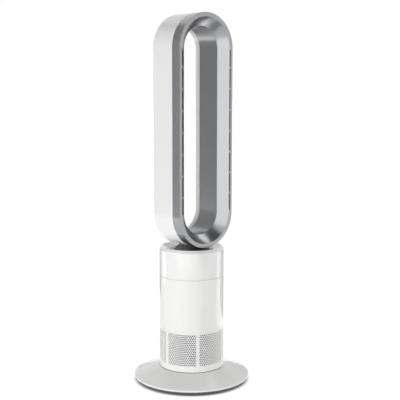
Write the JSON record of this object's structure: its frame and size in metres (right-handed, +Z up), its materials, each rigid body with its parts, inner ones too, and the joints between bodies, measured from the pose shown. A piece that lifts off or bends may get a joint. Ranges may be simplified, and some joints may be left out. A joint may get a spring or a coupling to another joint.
{
  "type": "bladeless tower fan",
  "caption": "Tall bladeless tower fan: a long hollow air loop on a round column with perforated intake windows, a swivelling neck and a weighted disc base.",
  "frame": {"origin": "centre of the underside, at floor level under the feet", "axes": "+Z up along the column and the loop, -Y to the fan's front (where the air leaves), +X to the right seen from the front"},
  "size_m": [0.2872, 0.2872, 0.9062],
  "materials": {
    "white_abs": "glossy moulded white ABS",
    "silver_abs": "satin metallised silver paint on ABS",
    "liner_silver": "satin metallised silver paint on ABS",
    "dark_abs": "glossy dark grey ABS",
    "black_rubber": "matt moulded rubber",
    "zinc_steel": "zinc-plated",
    "magnet": "sintered ferrite and laminations",
    "copper_wire": "enamelled copper wire",
    "natural_pom": "natural acetal",
    "filter_mesh": "fine woven grey nylon",
    "circuit_board": "green solder mask"
  },
  "bodies": {
    "base": {"base_cover": "white_abs", "base_tray": "dark_abs", "ballast_plate": "zinc_steel", "rubber_feet": "black_rubber", "tray_screws": "zinc_steel", "column_gasket": "black_rubber", "column_bolts": "zinc_steel", "lower_housing": "white_abs", "intake_screens": "white_abs", "dust_filter": "filter_mesh", "cord_gland": "black_rubber", "inlet_ring": "dark_abs", "blower_shroud": "dark_abs", "shroud_screws": "zinc_steel", "motor_can": "zinc_steel", "motor_stator": "magnet", "motor_coils": "copper_wire", "motor_bearings": "zinc_steel", "motor_mounts": "black_rubber", "diffuser": "dark_abs", "nacelle_cap": "dark_abs", "outlet_duct": "dark_abs", "duct_seal": "black_rubber", "upper_housing": "white_abs", "housing_screws": "zinc_steel", "slide_ring": "natural_pom", "swivel_motor": "zinc_steel", "swivel_screws": "zinc_steel", "control_board": "circuit_board", "board_parts": "dark_abs"},
    "head": {"turntable": "dark_abs", "ring_gear": "natural_pom", "thrust_washer": "natural_pom", "retaining_clip": "zinc_steel", "neck_duct": "dark_abs", "neck_gasket": "black_rubber", "rear_shell": "white_abs", "front_frame": "silver_abs", "inner_liner": "liner_silver"},
    "rotor": {"impeller": "natural_pom", "impeller_nut": "zinc_steel", "motor_shaft": "zinc_steel", "rotor_magnet": "magnet"},
    "swivel_drive": {"output_shaft": "zinc_steel", "drive_pinion": "natural_pom"},
    "button": {"power_button": "dark_abs"}
  },
  "joints": [
    {"name": "head_swivel", "type": "hinge", "parent": "base", "child": "head", "pos_m": [0, 0, 0.33], "axis": [0, 0, 1], "range_deg": [-40, 40]},
    {"name": "pinion_spin", "type": "hinge", "parent": "base", "child": "swivel_drive", "pos_m": [0.0495, 0, 0.31], "axis": [0, 0, 1], "range_deg": [-180, 180]},
    {"name": "rotor_spin", "type": "hinge", "parent": "base", "child": "rotor", "pos_m": [0, 0, 0.2], "axis": [0, 0, 1], "continuous": true},
    {"name": "button_press", "type": "slide", "parent": "base", "child": "button", "axis": [0, -1, 0], "range_m": [0, 0.001], "stiffness_N_per_m": 600, "springref_m": -0.001}
  ],
  "couplings": [
    {"joint": "pinion_spin", "follows": "head_swivel", "ratio": -4.5}
  ]
}
